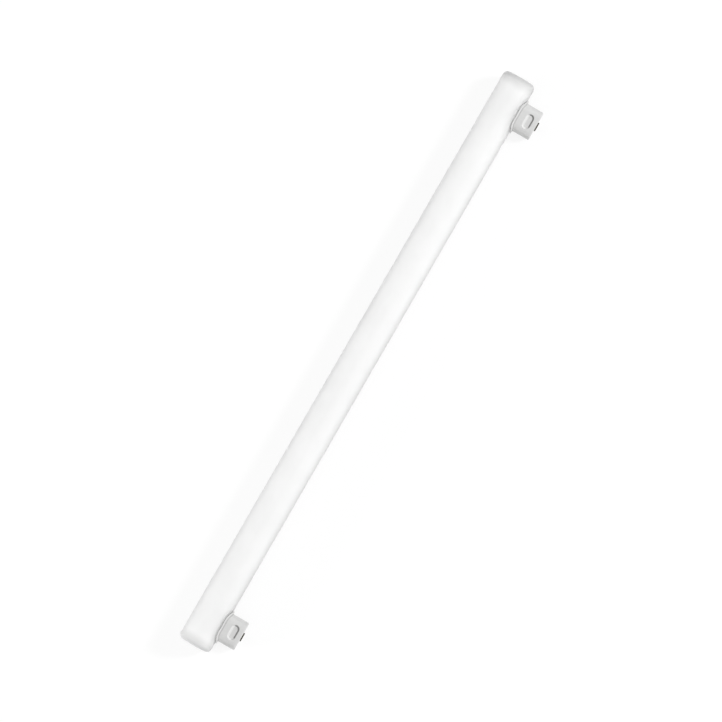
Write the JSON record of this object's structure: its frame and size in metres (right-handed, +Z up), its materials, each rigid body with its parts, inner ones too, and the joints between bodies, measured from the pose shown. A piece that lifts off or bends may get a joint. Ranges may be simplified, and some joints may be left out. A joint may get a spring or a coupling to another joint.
{
  "type": "tubular light bulb",
  "caption": "Opal straight tube lamp with a moulded plug cap, latch recess and round brass contact near each end of one side.",
  "frame": {"origin": "on the surface that the lamp lies on, under the middle of its box", "axes": "+X along the tube, towards the end that is uppermost in the picture; -Y is the side that the caps stand out of; +Z up"},
  "size_m": [0.5, 0.0432, 0.027],
  "materials": {
    "opal_glass": "opal white glass, coated inside so that nothing shows through, smooth with a soft gloss",
    "cap_moulding": "light grey moulded plastic, satin",
    "contact_brass": "turned brass, dull",
    "lead_insulation": "white wire insulation, hidden in the cap",
    "adhesive": "grey cured adhesive, matte"
  },
  "bodies": {
    "root": {"opal_tube": "opal_glass", "left_cap_shell": "cap_moulding", "left_contact": "contact_brass", "left_lead": "lead_insulation", "left_adhesive": "adhesive", "right_cap_shell": "cap_moulding", "right_contact": "contact_brass", "right_lead": "lead_insulation", "right_adhesive": "adhesive"}
  },
  "joints": []
}
